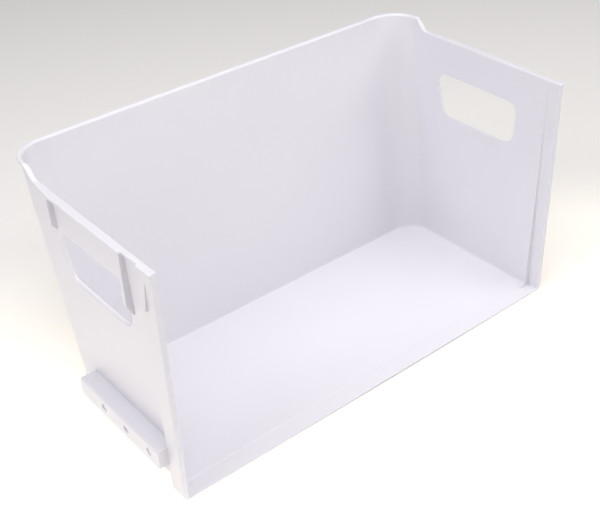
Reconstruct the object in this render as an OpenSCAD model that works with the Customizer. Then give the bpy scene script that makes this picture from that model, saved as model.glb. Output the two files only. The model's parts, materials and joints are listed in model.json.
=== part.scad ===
// Freezer drawer body: one moulded tub, open at the front, with hand holes and slide runners.
// Millimetres. X runs across the drawer, Y runs from the open front to the back, Z runs up.
// The origin lies on the floor plane, under the middle of the drawer.
// The helpers below measure Y from the front edge; the whole body is then moved to the origin.

/* [Tub] */
// Inside width between the side walls, at the rim
inner_w = 400; // [340:1:460]
// Inside depth from the front edge to the back wall, at the back rim
inner_d = 198.5; // [190:0.5:260]
// Height of the side walls
side_h = 210.7; // [190:0.1:240]
// How far the back wall stands above the side walls
back_rise = 10.3; // [4:0.1:20]
// Thickness of the side walls and the back wall
wall = 2.8; // [2.2:0.1:3.6]
// Thickness of the floor
floor_t = 3.2; // [2.6:0.1:5]
// How far each side wall leans in from its rim to the floor
side_lean = 7.2; // [4:0.1:9]
// How far the back wall leans in from its rim to the floor
back_lean = 35.7; // [20:0.1:45]
// Inside radius of the upright back corners, at the rim
corner_r_rim = 25; // [20:1:34]
// Inside radius of the upright back corners, at the floor
corner_r_floor = 24; // [12:1:30]
// Inside radius between the floor and the side walls
side_fillet = 4; // [3:0.5:8]
// Inside radius between the floor and the back wall
back_fillet = 1.5; // [1:0.1:4]

/* [Front frame] */
// Depth of the proud strips round the open front
frame_d = 15.5; // [13:0.5:18]
// Thickness of the side strips
frame_t = 4.7; // [3.6:0.1:6]
// How far each strip leans in from the rim to the floor
frame_lean = 2; // [0:0.5:3]
// Radius of the lower outer corners of the frame
frame_corner_r = 7; // [2:0.5:8]
// Depth of the step inside the side strips
rebate_d = 11; // [8:0.5:12]
// Depth of the lowered band along the front of the floor
band_d = 14; // [10:0.5:20]
// Length of the slope from the band up to the floor
band_slope = 2.5; // [1:0.5:5]
// How far the band lies below the floor
band_drop = 1; // [0.3:0.1:1.4]
// Radius along the lower front edge of the floor
front_edge_r = 1.4; // [0.5:0.1:1.6]

/* [Rim] */
// Thickness of the rim flange
rim_t = 2.6; // [2:0.1:4]
// Width of the rim along the hand hole, from the inside edge
rim_w = 6.8; // [6:0.1:9]
// Width of the rim between the hand hole and the front pad
lip_w = 4.5; // [4:0.1:6]
// Width of the rim at the front pad
pad_w = 6.2; // [5:0.1:9]
// Length of the front pad
pad_d = 17; // [10:0.5:22]
// Width of the rim round the back corners and along the back wall
back_rim_w = 4.8; // [4:0.1:8]
// Radius that rounds the inside of the rim along the back wall
back_rim_r = 2.2; // [1:0.1:3]
// Length of the curve that lifts the rim to the back wall
rim_sweep = 16; // [8:0.5:20]
// Length over which the rim narrows in front of that curve
rim_taper = 21; // [5:0.5:25]

/* [Hand holes] */
// Distance from the front edge to each hand hole
hole_front = 43; // [43:0.5:60]
// Length of each hand hole along its top
hole_d = 94; // [75:0.5:94]
// How far the back end of each hand hole leans forward, from its top to its foot
hole_lean = 7; // [0:0.5:12]
// Height of each hand hole
hole_h = 40.5; // [30:0.5:55]
// Distance from the side rim down to the hand hole
hole_below_rim = 32.7; // [26:0.1:38]
// Corner radius of the hand holes
hole_r = 9; // [5:0.5:12]
// Radius of the lower front corner of the hand holes
hole_r_low_front = 14; // [5:0.5:15]
// Radius that rounds the outside edge of the hand holes
hole_edge_r = 2.5; // [1:0.1:2.6]

/* [Grip surround] */
// Distance from the front edge to the front cheek rib
cheek_front = 36.3; // [34:0.1:37]
// Thickness of the front cheek rib
cheek_t = 3.8; // [2.5:0.1:4.2]
// Depth of the front cheek rib below the rim, down to its run-out
cheek_h = 45; // [35:0.5:55]
// Height of the run-out under the cheek rib
cheek_runout = 11; // [6:0.5:16]
// Distance from the front edge to the swelling behind the hand hole
swell_front = 135.5; // [128:0.5:145]
// Depth of the swelling below the rim, down to its run-out
swell_h = 25.5; // [14:0.5:28]
// Height of the run-out under the swelling
swell_runout = 6.5; // [4:0.5:12]

/* [Front catches] */
// Distance from the front edge to each catch
catch_front = 9.3; // [7:0.1:10]
// Distance from the side rim down to the lower ledge of each catch
catch_below_rim = 34; // [28:0.5:45]
// Length of the ramp of each catch
catch_h = 23; // [12:0.5:24]
// How far each catch stands out at its ledge
catch_out = 2.8; // [1.5:0.1:4]

/* [Slide runners] */
// Height of the underside of the runners above the floor plane
rail_z = 30; // [22:0.5:60]
// Height of the runners
rail_h = 17; // [12:0.5:24]
// How far the runners stand out from the side walls
rail_out = 15; // [9:0.1:18]
// Radius along the upper outer edge of the runners
rail_edge_r = 2.5; // [1:0.1:4]
// Length of the runners behind the front frame
rail_d = 112; // [90:0.5:130]
// Thickness of the runner skin
rail_skin = 2.5; // [2:0.1:3.5]
// Thickening of the side wall inside each runner
rail_root = 0.6; // [0.4:0.1:2]
// Number of cross ribs inside each runner
rail_ribs = 3; // [1:1:5]
// Diameter of the round dimples in the runners
dimple_dia = 7; // [4:0.5:9]
// Depth of the dimples
dimple_depth = 1.6; // [0.8:0.1:1.8]
// Distance from the front frame to the first dimple
dimple_front = 12.5; // [8:0.5:20]
// Distance between the dimples
dimple_pitch = 32; // [20:0.5:38]
// Number of dimples on each runner
dimple_count = 3; // [1:1:3]

/* [Hidden] */

// Segments in each quarter turn of the corners and the fillets
corner_steps = 8;
fillet_steps = 5;
edge_steps = 4;
// Segments in the curve of the rim
sweep_steps = 12;
// Overlap that lets a cut pass through a face
over = 1;
// How far a rounded edge runs past the face that it ends on
past = 0.1;
round_fn = 48;

back_h = side_h + back_rise;
depth = inner_d + back_rim_w;
half_w = inner_w / 2;
widest = half_w + max(pad_w, rim_w, back_rim_w) + over;
sweep_end = inner_d - corner_r_rim;
sweep_start = sweep_end - rim_sweep;
hole_top = side_h - hole_below_rim;
rail_half_w = half_out(rail_z) + rail_out;

// Half of the inside width, and the inside face of the back wall, at a height above the floor plane
function half_in(z) = half_w - side_lean * (1 - z / side_h);
function half_out(z) = half_in(z) + wall;
function back_in(z) = inner_d - back_lean * (1 - z / back_h);
function corner_in(z) = corner_r_floor + (corner_r_rim - corner_r_floor) * z / back_h;
function frame_in(z) = half_w - frame_lean * (1 - z / side_h);

// Height of the rim at a distance from the front edge: level, an S-shaped rise, then level
function rise(t) = (1 - cos(180 * min(max(t, 0), 1))) / 2;
function rim_z(y) = side_h + back_rise * rise((y - sweep_start) / rim_sweep);

// How far a quarter-round edge of radius r draws in at height z above its foot
function inset(z, r) = z >= r ? 0 : r - sqrt(r * r - (r - z) * (r - z));

// Points of an arc
function arc(cx, cy, r, from, to, steps) =
    [for (i = [0:steps]) let (a = from + (to - from) * i / steps) [cx + r * cos(a), cy + r * sin(a)]];

// One level of the tub in plan: square at the open front, rounded at the back corners
function plan_ring(half, front, back, r) = concat(
    [[half, front]],
    arc(half - r, back - r, r, 0, 90, corner_steps),
    arc(r - half, back - r, r, 90, 180, corner_steps),
    [[-half, front]]
);

// Skin through a stack of rings that all have the same number of points
module skin_through(rings) {
    n = len(rings[0]);
    last = len(rings) - 1;
    foot = [for (i = [0:n - 1]) i];
    head = [for (i = [n - 1:-1:0]) last * n + i];
    skin = [for (k = [0:last - 1]) for (i = [0:n - 1]) let (a = k * n, b = a + n, j = (i + 1) % n)
        each [[a + i, b + j, a + j], [a + i, b + i, b + j]]];
    polyhedron(points = [for (ring = rings) each ring], faces = concat([foot], [head], skin));
}

// One level of a tub form at a height, out by grow from the inside faces, with its two fillets at its foot
function tub_ring(z, foot_z, grow, side_r, back_r, front) =
    let (side_cut = inset(z - foot_z, side_r), back_cut = inset(z - foot_z, back_r))
    [for (p = plan_ring(
        half_in(z) + grow - side_cut,
        front,
        back_in(z) + grow - back_cut,
        corner_in(z) + grow - back_cut
    )) [p[0], p[1], z]];

// Heights of the levels in a fillet at the foot of a tub form
function fillet_heights(foot_z, r) =
    [for (i = [0:fillet_steps]) foot_z + r * (1 - cos(90 * i / fillet_steps))];

module tub_outside() {
    r = side_fillet + wall;
    skin_through([for (z = concat(fillet_heights(0, r), [back_h + over]))
        tub_ring(z, 0, wall, r, back_fillet + wall, 0)]);
}

// The inside also opens out at the rim of the back wall, which rounds that edge
module tub_inside() {
    mouth_z = back_h + past - back_rim_r;
    levels = concat(
        [for (z = fillet_heights(floor_t, side_fillet)) [z, 0]],
        [for (i = [0:edge_steps]) let (a = 90 * i / edge_steps)
            [mouth_z + back_rim_r * sin(a), back_rim_r * (1 - cos(a))]],
        [[back_h + over, back_rim_r]]
    );
    skin_through([for (level = levels)
        tub_ring(level[0], floor_t, level[1], side_fillet, back_fillet, -over)]);
}

// Repeats a right-hand feature on the left
module both_sides() {
    children();
    mirror([1, 0, 0])
        children();
}

// Extrudes an outline drawn in X and Z along the drawer's depth
module along_depth(from, length) {
    translate([0, from + length, 0])
        rotate([90, 0, 0])
            linear_extrude(height = length)
                children();
}

// Extrudes an outline drawn in Y and Z across the drawer
module across(from, length) {
    translate([from, 0, 0])
        rotate([90, 0, 90])
            linear_extrude(height = length)
                children();
}

// Outline of the front frame, seen from the front
module frame_outline() {
    foot = frame_in(0) + frame_t - frame_corner_r;
    head = frame_in(side_h) + frame_t;
    polygon(concat(
        arc(foot, frame_corner_r, frame_corner_r, -90, 0, corner_steps),
        [[head, side_h], [-head, side_h]],
        arc(-foot, frame_corner_r, frame_corner_r, 180, 270, corner_steps)
    ));
}

module front_frame() {
    along_depth(0, frame_d)
        frame_outline();
}

// The wider, deeper step inside the side strips, where the front panel seats
module frame_rebate() {
    foot_z = floor_t - band_drop;
    along_depth(-over, rebate_d + over)
        polygon([
            [frame_in(foot_z), foot_z],
            [frame_in(back_h), back_h],
            [-frame_in(back_h), back_h],
            [-frame_in(foot_z), foot_z]
        ]);
}

// The lowered band of the floor, with its slope
module floor_band() {
    half = half_in(floor_t) - side_fillet;
    low = floor_t - band_drop;
    across(-half, 2 * half)
        polygon([
            [-over, low],
            [band_d, low],
            [band_d + band_slope, floor_t],
            [band_d + band_slope, floor_t + over],
            [-over, floor_t + over]
        ]);
}

// Rounds the lower front edge of the floor
module front_edge_cut() {
    across(-half_w - frame_t - over, inner_w + 2 * (frame_t + over))
        difference() {
            translate([-over, -over])
                square(front_edge_r + over);
            translate([front_edge_r, front_edge_r])
                circle(r = front_edge_r, $fn = round_fn);
        }
}

// Everything above the rim, as a profile seen from the side
module above_rim() {
    curve = [for (i = [0:sweep_steps]) let (y = sweep_start + rim_sweep * i / sweep_steps) [y, rim_z(y)]];
    top = back_h + 2 * over;
    across(-widest, 2 * widest)
        polygon(concat(
            [[-over, side_h]],
            curve,
            [[depth + over, back_h], [depth + over, top], [-over, top]]
        ));
}

// Right half of the rim's outline in plan: front pad, narrow lip, wide stretch by the hand hole, back corner
function rim_half() = concat(
    [
        [half_w + pad_w, 0],
        [half_w + pad_w, pad_d],
        [half_w + lip_w, pad_d],
        [half_w + lip_w, cheek_front],
        [half_w + rim_w, cheek_front],
        [half_w + rim_w, sweep_start - rim_taper],
        [half_w + lip_w, sweep_start]
    ],
    arc(half_w - corner_r_rim, sweep_end, corner_r_rim + back_rim_w, 0, 90, corner_steps)
);

module rim_plan() {
    right = rim_half();
    left = [for (i = [len(right) - 1:-1:0]) [-right[i][0], right[i][1]]];
    polygon(concat(right, left));
}

// The rim follows the side walls, rises in an S and runs on round the back; the inside is cut out later
module rim_flange() {
    low_curve = [for (i = [sweep_steps:-1:0]) let (y = sweep_start + rim_sweep * i / sweep_steps)
        [y, rim_z(y) - rim_t]];
    intersection() {
        linear_extrude(height = back_h)
            rim_plan();
        across(-widest, 2 * widest)
            polygon(concat(
                [[0, side_h - rim_t], [0, back_h], [depth, back_h], [depth, back_h - rim_t]],
                low_curve
            ));
    }
}

// Thickening of the wall from the rim down, which runs out into the wall at its foot
module runout_profile(height, runout) {
    foot = side_h - height - runout;
    polygon([
        [half_w - wall, back_h],
        [half_w + rim_w, back_h],
        [half_w + rim_w, foot + runout],
        [half_out(foot) - wall / 2, foot - wall * runout / (2 * rim_w)],
        [half_w - side_lean, foot - wall * runout / (2 * rim_w)]
    ]);
}

// Rib that closes the grip recess at the front
module cheek_rib() {
    along_depth(cheek_front, cheek_t)
        runout_profile(cheek_h, cheek_runout);
}

// Swelling of the wall between the hand hole and the back corner, where it runs out into the wall
module swelling() {
    foot = side_h - swell_h - swell_runout;
    intersection() {
        along_depth(swell_front, sweep_end - swell_front)
            runout_profile(swell_h, swell_runout);
        linear_extrude(height = back_h)
            polygon([
                [0, 0],
                [half_w + rim_w, 0],
                [half_w + rim_w, sweep_start - rim_taper],
                [half_w + lip_w, sweep_start],
                [half_out(foot), sweep_end],
                [0, sweep_end]
            ]);
    }
}

// Ramped catch on the outside of the side strip, which holds the front panel
module front_catch() {
    ledge = side_h - catch_below_rim;
    face = frame_in(ledge) + frame_t;
    along_depth(catch_front, frame_d - catch_front)
        polygon([
            [face - frame_t / 2, ledge],
            [face + catch_out, ledge],
            [frame_in(ledge + catch_h) + frame_t, ledge + catch_h],
            [face - frame_t / 2, ledge + catch_h]
        ]);
}

// Slide runner: a hollow bar, open below, with cross ribs inside and dimples outside
module runner() {
    root = half_out(rail_z) - wall / 2;
    top = rail_z + rail_h;
    difference() {
        along_depth(frame_d - over, rail_d + over)
            polygon(concat(
                [[root, rail_z], [rail_half_w, rail_z]],
                arc(rail_half_w - rail_edge_r, top - rail_edge_r, rail_edge_r, 0, 90, fillet_steps),
                [[root, top]]
            ));
        runner_pockets();
        for (i = [0:dimple_count - 1])
            translate([
                rail_half_w - dimple_depth,
                frame_d + dimple_front + dimple_pitch * i,
                rail_z + rail_h / 2
            ])
                rotate([0, 90, 0])
                    cylinder(d = dimple_dia, h = dimple_depth + over, $fn = round_fn);
    }
}

module runner_pockets() {
    bays = rail_ribs + 1;
    bay_d = (rail_d - rail_skin * (rail_ribs + 2)) / bays;
    top = rail_z + rail_h - rail_skin;
    inside = half_out(top) + rail_root;
    for (i = [0:bays - 1])
        translate([inside, frame_d + rail_skin + (bay_d + rail_skin) * i, rail_z - over])
            cube([rail_half_w - rail_skin - inside, bay_d, top - rail_z + over]);
}

// Outline of a hand hole in Y and Z, let out by grow; its lower front corner is rounder, its back end leans
function hole_outline(grow) =
    let (
        front = hole_front,
        back = hole_front + hole_d,
        low = hole_top - hole_h,
        big = hole_r_low_front,
        tilt = atan(hole_lean / (hole_h - 2 * hole_r))
    )
    concat(
        arc(front + big, low + big, big + grow, 180, 270, corner_steps),
        arc(back - hole_lean - hole_r, low + hole_r, hole_r + grow, 270, 360 - tilt, corner_steps),
        arc(back - hole_r, hole_top - hole_r, hole_r + grow, -tilt, 90, corner_steps),
        arc(front + hole_r, hole_top - hole_r, hole_r + grow, 90, 180, corner_steps)
    );

// Hand hole in the side wall, sharp inside and rounded outside; the rounding follows the leaning wall
module hand_hole() {
    inside = half_w - side_lean - over;
    skin_through(concat(
        [[for (p = hole_outline(0)) [inside, p[0], p[1]]]],
        [for (i = [0:edge_steps]) let (a = 90 * i / edge_steps)
            [for (p = hole_outline(hole_edge_r * (1 - cos(a))))
                [half_out(p[1]) + past - hole_edge_r * (1 - sin(a)), p[0], p[1]]]],
        [[for (p = hole_outline(hole_edge_r)) [widest, p[0], p[1]]]]
    ));
}

module drawer_body() {
    color([0.93, 0.935, 0.96])
        translate([0, -depth / 2, 0])
            difference() {
                union() {
                    tub_outside();
                    front_frame();
                    rim_flange();
                    both_sides() {
                        cheek_rib();
                        swelling();
                        front_catch();
                        runner();
                    }
                }
                tub_inside();
                frame_rebate();
                floor_band();
                front_edge_cut();
                above_rim();
                both_sides()
                    hand_hole();
            }
}

drawer_body();
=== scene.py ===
# %% [markdown]
# # A moulded freezer drawer
#
# The object is the white drawer body of a freezer: one tub of injection-moulded plastic with an
# open front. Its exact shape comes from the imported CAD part. This script gives that shape what a
# mould gives it and a CAD solid lacks: rounded edges, a satin skin and soft light to see them in.

import json
import math

import bmesh
import bpy
from mathutils import Matrix, Vector

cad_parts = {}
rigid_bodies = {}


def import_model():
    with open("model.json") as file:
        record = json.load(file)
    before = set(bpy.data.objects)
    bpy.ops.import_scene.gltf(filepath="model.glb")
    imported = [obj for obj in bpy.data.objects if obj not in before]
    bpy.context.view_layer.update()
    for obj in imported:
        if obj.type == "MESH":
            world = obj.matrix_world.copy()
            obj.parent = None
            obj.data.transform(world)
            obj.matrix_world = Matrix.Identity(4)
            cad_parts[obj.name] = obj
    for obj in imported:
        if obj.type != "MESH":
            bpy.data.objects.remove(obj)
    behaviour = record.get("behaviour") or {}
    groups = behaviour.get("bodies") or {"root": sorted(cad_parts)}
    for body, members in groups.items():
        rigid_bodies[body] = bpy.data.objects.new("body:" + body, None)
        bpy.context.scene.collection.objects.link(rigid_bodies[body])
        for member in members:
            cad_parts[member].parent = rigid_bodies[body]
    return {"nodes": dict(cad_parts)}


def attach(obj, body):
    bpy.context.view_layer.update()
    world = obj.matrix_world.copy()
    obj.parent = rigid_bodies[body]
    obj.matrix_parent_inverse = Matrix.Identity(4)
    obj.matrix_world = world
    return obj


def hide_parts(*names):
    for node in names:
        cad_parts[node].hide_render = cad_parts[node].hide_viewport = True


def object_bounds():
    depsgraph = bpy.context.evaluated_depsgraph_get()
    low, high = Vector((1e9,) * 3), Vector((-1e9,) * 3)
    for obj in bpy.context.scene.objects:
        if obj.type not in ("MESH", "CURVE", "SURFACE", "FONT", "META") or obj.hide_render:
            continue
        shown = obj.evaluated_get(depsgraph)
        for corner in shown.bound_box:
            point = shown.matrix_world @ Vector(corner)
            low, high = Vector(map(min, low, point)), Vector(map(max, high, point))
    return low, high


MM = 0.001

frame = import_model()
cad_low, cad_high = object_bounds()
drawer_cad = frame["nodes"]["drawer_body"]
print("CAD box in mm:", [round((b - a) / MM, 1) for a, b in zip(cad_low, cad_high)])

# %% [markdown]
# ## Clean faces
#
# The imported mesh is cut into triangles, and long triangles give a bevel nothing to follow. Welding
# the points and dissolving the flat joins brings back the faces that the mould's walls have: one
# large face for each flat wall, and narrow strips round the corners.
# The CAD object itself must stay as it is, so the work is done on a copy.

# %% Copy the mesh and dissolve the flat joins
WELD = 0.05 * MM
FLAT_JOIN = math.radians(0.5)

work = bmesh.new()
work.from_mesh(drawer_cad.data)
bmesh.ops.remove_doubles(work, verts=work.verts, dist=WELD)
bmesh.ops.dissolve_limit(work, angle_limit=FLAT_JOIN, verts=work.verts, edges=work.edges)
open_edges = [edge for edge in work.edges if not edge.is_manifold]
print("faces:", len(drawer_cad.data.polygons), "->", len(work.faces))
print("open edges:", len(open_edges))

# %% [markdown]
# ## Square cuts through the dimples
#
# The face of each runner has three shallow round dimples. A face with round holes has to be joined
# to their rims by cuts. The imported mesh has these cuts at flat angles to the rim, where a rounding
# would slip along the cut and fold. So the face is cut square through the middle of each dimple
# instead, and the old slanted cuts are dissolved.

# %% Cut the face of the runners square through each dimple
DIMPLE_SIDES = 40  # the round bottom of a dimple has at least so many edges
EVEN = 1.05  # the longest edge of a circle is at most so many times the shortest
SNAP = 0.01 * MM


def is_disc(face):
    """True for the round bottom of a dimple, which has many edges of one length."""
    lengths = [edge.calc_length() for edge in face.edges]
    return len(lengths) >= DIMPLE_SIDES and max(lengths) < EVEN * min(lengths)


discs = [face for face in work.faces if is_disc(face)]
for disc in discs:
    centre = disc.calc_center_median()
    side_walls = {face for edge in disc.edges for face in edge.link_faces} - {disc}
    rim = {vert for face in side_walls for vert in face.verts} - set(disc.verts)
    around = {face for vert in rim for face in vert.link_faces} - side_walls
    pieces = [face for face in work.faces if face in around]
    pieces += [edge for edge in work.edges if around.intersection(edge.link_faces)]
    bmesh.ops.bisect_plane(work, geom=pieces, dist=SNAP, plane_co=centre, plane_no=(0, 1, 0))
    joins = [
        edge for edge in work.edges
        if rim.intersection(edge.verts) and edge.calc_face_angle(math.pi) < FLAT_JOIN
    ]
    slanted = [edge for edge in joins if max(abs(v.co.y - centre.y) for v in edge.verts) > WELD]
    bmesh.ops.dissolve_edges(work, edges=slanted, use_verts=False)
print("dimples cut square:", len(discs))

# %% [markdown]
# ## Sharp edges in short pieces
#
# No edge of a moulded part is sharp. The steel of the mould is worn and polished to a small
# radius, and that radius is what catches the light as a thin bright line along the rim.
# The radius can't be the same everywhere: the step inside the front frame runs out to nothing at
# the rim, and a rounding wider than the step would fold over itself. One radius that fits
# everywhere would be too small to see. So the long edges are cut into short pieces first, and
# each piece gets a width of its own in the next steps.

# %% Cut the sharp edges into pieces
SHARP = math.radians(30)
PIECE = 8 * MM


def sharp_edges():
    """Edges where two faces meet at a clear angle."""
    return [edge for edge in work.edges if edge.is_manifold and edge.calc_face_angle(0) > SHARP]


whole = sharp_edges()
for edge in whole:
    cuts = int(edge.calc_length() / PIECE)
    if cuts:
        bmesh.ops.subdivide_edges(work, edges=[edge], cuts=cuts)
print("sharp edges:", len(whole), "-> pieces:", len(sharp_edges()))

# %% [markdown]
# ## Room beside an edge
#
# A rounding can only take what the two faces beside its edge have. The wide walls have plenty, the
# rims less, and the thin end of a step next to nothing. The clamp of the Bevel modifier would give
# every edge the width that suits the narrowest place. So the room is measured edge by edge: from
# the middle of the edge to the nearest other edge of the same face. Edges that only carry on
# ahead don't count.

# %% Measure the room
SIDEWAYS = 0.7  # cosine of 45 degrees: the border between beside and ahead


def room_beside(edge):
    """Distance from the middle of an edge, sideways across its two faces, to their next edge."""
    start, end = (vert.co for vert in edge.verts)
    middle = (start + end) / 2
    along = (end - start).normalized()
    nearest = math.inf
    for face in edge.link_faces:
        for other in face.edges:
            if other is edge:
                continue
            first, last = (vert.co for vert in other.verts)
            span = last - first
            share = min(max((middle - first).dot(span) / span.length_squared, 0), 1)
            gap = first + span * share - middle
            if abs(gap.dot(along)) < gap.length * SIDEWAYS:
                nearest = min(nearest, gap.length)
    return nearest


rooms = sorted(room_beside(edge) for edge in sharp_edges())
print("room in mm, least and middle:", [round(rooms[i] / MM, 2) for i in (0, len(rooms) // 2)])

# %% [markdown]
# ## A width for each piece
#
# The width of a rounding is stored on its edge as a bevel weight: the share of the full radius
# that the room allows. Two kinds of edges stay crisp. The first has so little room that its
# rounding wouldn't be seen. The second ends at an edge shorter than the radius, where roundings
# would crowd into one point. The rims of the dimples have short edges too, but these follow each
# other evenly round a circle, and a rounding runs along them well.

# %% Store the widths
EDGE_RADIUS = 0.6 * MM
SHARE_OF_ROOM = 0.3
LEAST_WEIGHT = 0.25


def on_even_curve(vert):
    """True on a circle such as a dimple's rim, where two sharp edges of one length meet."""
    meeting = [edge.calc_length() for edge in vert.link_edges if edge in sharp_set]
    return len(meeting) == 2 and max(meeting) < EVEN * min(meeting)


weights = work.edges.layers.float.new("bevel_weight_edge")
sharp = sharp_edges()
sharp_set = set(sharp)
crowded = {vert for edge in sharp if edge.calc_length() < EDGE_RADIUS for vert in edge.verts}
crowded = {vert for vert in crowded if not on_even_curve(vert)}
rounded = 0
for edge in sharp:
    weight = min(1, SHARE_OF_ROOM * room_beside(edge) / EDGE_RADIUS)
    if weight > LEAST_WEIGHT and not crowded.intersection(edge.verts):
        edge[weights] = weight
        rounded += 1
    else:
        edge.smooth = False
print("edge pieces:", len(sharp), "rounded:", rounded)

body_mesh = bpy.data.meshes.new("drawer_body_moulded")
work.to_mesh(body_mesh)
work.free()

# %% [markdown]
# ## Rounded edges and flat walls
#
# A bevel follows the widths just stored. Face-weighted normals keep the large walls flat right up
# to their edges, so that the shading bends only where the plastic does. Modifiers do both, so the
# plain faces below stay easy to edit. The rounded copy then takes the place of the CAD body.

# %% Round the edges
ROUNDING_STEPS = 3
PULL_OF_LARGE_FACES = 80  # 50 weighs the faces by their area, more favours the large ones

body = bpy.data.objects.new("drawer_body_moulded", body_mesh)
bpy.context.collection.objects.link(body)
for face in body_mesh.polygons:
    face.use_smooth = True

bevel = body.modifiers.new("rounded_edges", "BEVEL")
bevel.width = EDGE_RADIUS
bevel.segments = ROUNDING_STEPS
bevel.limit_method = "WEIGHT"
bevel.use_clamp_overlap = False
weighted = body.modifiers.new("flat_walls", "WEIGHTED_NORMAL")
weighted.mode = "FACE_AREA"
weighted.weight = PULL_OF_LARGE_FACES
weighted.keep_sharp = True

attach(body, "root")
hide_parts("drawer_body")
print("steps on the body:", [step.name for step in body.modifiers])

# %% [markdown]
# ## White plastic
#
# Freezer drawers are moulded from white polystyrene. It is slightly blue, because a trace of blue
# pigment hides the yellow of the raw plastic, and the flow of the melt leaves faint clouds in it.
# One flat colour would look drawn. A picture of plastic would have to be unwrapped onto the walls.
# Noise in the object's own space needs no unwrapping and has no seams.

# %% Colour
SKIN_COLOUR = (0.72, 0.715, 0.775, 1)
SKIN_COLOUR_THICK = (0.75, 0.745, 0.80, 1)
CLOUDS_PER_METRE = 9
MIX_FIRST, MIX_SECOND, MIX_RESULT = 6, 7, 2  # sockets of a Mix node that mixes colours


def add(tree, kind, **values):
    """A new shader node with its sockets and settings filled in."""
    made = tree.nodes.new(kind)
    for name, value in values.items():
        socket = name.replace("_", " ").title()
        if socket in made.inputs:
            made.inputs[socket].default_value = value
        else:
            setattr(made, name, value)
    return made


plastic = bpy.data.materials.new("white_plastic")
plastic.use_nodes = True
tree = plastic.node_tree
shader = tree.nodes["Principled BSDF"]
place = add(tree, "ShaderNodeTexCoord")

flow = add(tree, "ShaderNodeTexNoise", scale=CLOUDS_PER_METRE, detail=3, roughness=0.5)
tree.links.new(place.outputs["Object"], flow.inputs["Vector"])
tint = add(tree, "ShaderNodeMix", data_type="RGBA")
tint.inputs[MIX_FIRST].default_value = SKIN_COLOUR
tint.inputs[MIX_SECOND].default_value = SKIN_COLOUR_THICK
tree.links.new(flow.outputs["Fac"], tint.inputs["Factor"])
tree.links.new(tint.outputs[MIX_RESULT], shader.inputs["Base Color"])
print("clouds in the plastic, size in mm:", round(1 / CLOUDS_PER_METRE / MM))

# %% [markdown]
# ## Satin skin
#
# The skin copies the spark-eroded surface of the steel, a grain of about half a millimetre. It is
# too fine to model and to see, but it blurs reflections, and that makes the difference between
# satin and gloss. So the roughness does most of the work and varies with the clouds in the
# plastic, and a very shallow bump from fine noise breaks up the highlights.

# %% Gloss and grain
GLOSSIEST, DULLEST = 0.34, 0.46
GRAIN_PER_METRE = 1800
GRAIN_STRENGTH = 0.12
GRAIN_DEPTH = 0.05 * MM

gloss = add(tree, "ShaderNodeMapRange", to_min=GLOSSIEST, to_max=DULLEST)
tree.links.new(flow.outputs["Fac"], gloss.inputs["Value"])
tree.links.new(gloss.outputs["Result"], shader.inputs["Roughness"])

grain = add(tree, "ShaderNodeTexNoise", scale=GRAIN_PER_METRE, detail=2, roughness=0.6)
tree.links.new(place.outputs["Object"], grain.inputs["Vector"])
bump = add(tree, "ShaderNodeBump", strength=GRAIN_STRENGTH, distance=GRAIN_DEPTH)
tree.links.new(grain.outputs["Fac"], bump.inputs["Height"])
tree.links.new(bump.outputs["Normal"], shader.inputs["Normal"])
print("grain in mm:", round(1 / GRAIN_PER_METRE / MM, 2))

# %% [markdown]
# ## Light inside the plastic
#
# A little light goes into white plastic and comes out again nearby, red a bit further than blue.
# That softens the shading in the corners. Subsurface scattering does the same, and its reach is
# set to about the thickness of a wall. A larger share of it would look like wax.

# %% Light inside the plastic
REFRACTION = 1.49
SHARE_OF_LIGHT_TAKEN_IN = 0.12
REACH = 2.5 * MM
REACH_OF_RED_GREEN_BLUE = (1, 0.9, 0.8)

shader.inputs["IOR"].default_value = REFRACTION
shader.inputs["Subsurface Weight"].default_value = SHARE_OF_LIGHT_TAKEN_IN
shader.inputs["Subsurface Radius"].default_value = REACH_OF_RED_GREEN_BLUE
shader.inputs["Subsurface Scale"].default_value = REACH

body_mesh.materials.clear()
body_mesh.materials.append(plastic)
print("materials on the body:", [m.name for m in body_mesh.materials])

# %% [markdown]
# ## Camera
#
# The camera stands where the photograph was taken: off the drawer's front left corner, 60 cm above
# the table, looking down by 34 degrees. The numbers come from fitting a pinhole camera to the
# drawer's edges, and the place is measured from the middle of the front edge. They are exact
# enough to lay the render over the photograph.

# %% Camera at the photograph's place
FRONT_EDGE = Vector((0, cad_low[1], 0))
CAMERA_PLACE = FRONT_EDGE + Vector((-474.1, -501.4, 601.9)) * MM
CAMERA_YAW = 0.6631
CAMERA_PITCH = 0.5973
CAMERA_ROLL = -0.0446
FOCAL_PIXELS = 1069.9
PHOTO_WIDTH = 600
SENSOR = 36

forward = Vector((
    math.sin(CAMERA_YAW) * math.cos(CAMERA_PITCH),
    math.cos(CAMERA_YAW) * math.cos(CAMERA_PITCH),
    -math.sin(CAMERA_PITCH),
))
level = Vector((math.cos(CAMERA_YAW), -math.sin(CAMERA_YAW), 0))
upright = level.cross(forward)
right = level * math.cos(CAMERA_ROLL) + upright * math.sin(CAMERA_ROLL)
up = upright * math.cos(CAMERA_ROLL) - level * math.sin(CAMERA_ROLL)

lens = bpy.data.cameras.new("camera")
lens.sensor_width = SENSOR
lens.lens = FOCAL_PIXELS * SENSOR / PHOTO_WIDTH
camera = bpy.data.objects.new("camera", lens)
bpy.context.collection.objects.link(camera)
turn = Matrix((right, up, -forward)).transposed().to_4x4()
camera.matrix_world = Matrix.Translation(CAMERA_PLACE) @ turn
bpy.context.scene.camera = camera
print("lens in mm:", round(lens.lens, 2))

# %% [markdown]
# ## Table
#
# The photograph is a plain catalogue picture: a white drawer on a white table, with no edge and no
# hard shadow anywhere. One large square does for the table. It ends far outside the picture, so
# no bent backdrop is needed.

# %% Table
FLOOR_SIZE = 12

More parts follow.
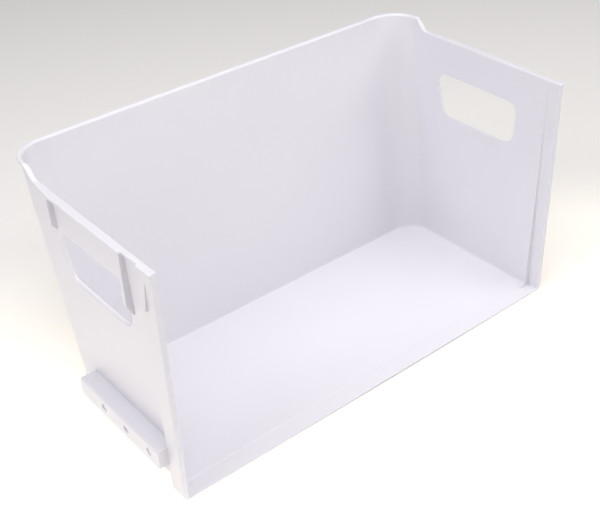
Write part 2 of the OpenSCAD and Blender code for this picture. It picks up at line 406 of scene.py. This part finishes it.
floor_mesh = bpy.data.meshes.new("floor")
half = FLOOR_SIZE / 2
floor_mesh.from_pydata(
    [(-half, -half, 0), (half, -half, 0), (half, half, 0), (-half, half, 0)], [], [(0, 1, 2, 3)]
)
floor = bpy.data.objects.new("floor", floor_mesh)
bpy.context.collection.objects.link(floor)
print("table in m:", FLOOR_SIZE)

# %% [markdown]
# ## Glow on the table
#
# The table is nearly burnt out beside the drawer and falls off to a pale grey behind it. It throws
# warm light up at the outside of the left wall, which is brighter near its foot than under its
# rim. A lamp on the floor would be seen, and would light the inside too. So the table itself gets
# a soft glow there, and a smaller one at the right. Each is bright up to one distance from its
# centre and fades to nothing at another.

# %% Paper with two glows
PAPER_COLOUR = (0.9, 0.89, 0.87, 1)
PAPER_ROUGHNESS = 0.7
GLOW_COLOUR = (1, 0.89, 0.7, 1)
GLOWS = [
    # centre, full strength within this distance, nothing beyond this one, strength
    ((-0.33, 0, 0), 0.08, 0.38, 0.58),
    ((0.28, -0.1, 0), 0.04, 0.2, 0.25),
]

paper = bpy.data.materials.new("floor_paper")
paper.use_nodes = True
tree = paper.node_tree
shader = tree.nodes["Principled BSDF"]
shader.inputs["Base Color"].default_value = PAPER_COLOUR
shader.inputs["Roughness"].default_value = PAPER_ROUGHNESS
shader.inputs["Emission Color"].default_value = GLOW_COLOUR
spot = add(tree, "ShaderNodeTexCoord")
glow = shader.inputs["Emission Strength"]
for centre, near, far, strength in GLOWS:
    reach = add(tree, "ShaderNodeVectorMath", operation="DISTANCE")
    reach.inputs[1].default_value = centre
    tree.links.new(spot.outputs["Object"], reach.inputs[0])
    fade = add(tree, "ShaderNodeMapRange", interpolation_type="SMOOTHSTEP")
    fade.inputs["From Min"].default_value = near
    fade.inputs["From Max"].default_value = far
    fade.inputs["To Min"].default_value = strength
    fade.inputs["To Max"].default_value = 0
    tree.links.new(reach.outputs["Value"], fade.inputs["Value"])
    total = add(tree, "ShaderNodeMath", operation="ADD")
    total.inputs[1].default_value = 0
    tree.links.new(fade.outputs["Result"], total.inputs[0])
    if glow.is_linked:
        tree.links.new(glow.links[0].from_socket, total.inputs[1])
    tree.links.new(total.outputs["Value"], glow)
floor_mesh.materials.append(paper)
print("glows on the table:", len(GLOWS))

# %% [markdown]
# ## Softboxes
#
# Seven softboxes stand round the drawer, large enough to leave no hard shadow. The three strong
# ones hang overhead, high at the left and high at the front right. The left one lights the right
# wall and the front right one the back wall, and neither looks straight into the rounded corner
# between the two walls, which is the darkest place in the photograph. The weak ones fill in.

# %% Light
SOFTBOXES = [
    # name, place, size in metres, power in watts, colour
    ("overhead", (0, 0, 2.2), 2.4, 22, (0.96, 0.96, 1)),
    ("overhead_near", (-0.2, -0.5, 1.25), 0.8, 6.6, (1, 0.95, 0.88)),
    ("high_left", (-1.8, 0.2, 1.6), 1.6, 24.4, (1, 1, 1)),
    ("back_left", (-1.6, 1.2, 0.8), 1.2, 1.6, (0.9, 0.75, 1)),
    ("front_left", (-1.6, -1.6, 0.9), 1.2, 0.4, (0.98, 0.93, 1)),
    ("front", (0.4, -2.2, 0.5), 1.2, 7.4, (0.98, 0.97, 1)),
    ("high_front_right", (1.3, -1.2, 1.8), 1.4, 18.6, (1, 0.98, 0.98)),
]
AIM = Vector((0, 0, 0.1))

for name, place, size, power, colour in SOFTBOXES:
    light = bpy.data.lights.new(name, "AREA")
    light.size = size
    light.energy = power
    light.color = colour
    softbox = bpy.data.objects.new(name, light)
    bpy.context.collection.objects.link(softbox)
    softbox.location = place
    softbox.rotation_mode = "QUATERNION"
    softbox.rotation_quaternion = (AIM - Vector(place)).to_track_quat("-Z", "Y")
print("softboxes:", len(SOFTBOXES), "watts:", round(sum(box[3] for box in SOFTBOXES), 1))

# %% [markdown]
# ## Room
#
# A trace of light comes from all sides, as from the walls of a white room, so that no hidden place
# goes black. The plain view transform keeps white as white as it is in the photograph.

# %% Light of the room
ROOM_COLOUR = (1, 0.99, 0.97, 1)
ROOM_LIGHT = 0.04

world = bpy.data.worlds.new("studio")
world.use_nodes = True
surround = world.node_tree.nodes["Background"]
surround.inputs["Color"].default_value = ROOM_COLOUR
surround.inputs["Strength"].default_value = ROOM_LIGHT
bpy.context.scene.world = world
bpy.context.scene.view_settings.view_transform = "Standard"
print("light of the room:", ROOM_LIGHT)

# %% [markdown]
# ## Update at the end
#
# The scene is brought up to date once more. The box round the finished drawer stays the box of the
# CAD part, because rounding an edge only takes plastic away.

# %% Update the scene
bpy.context.view_layer.update()
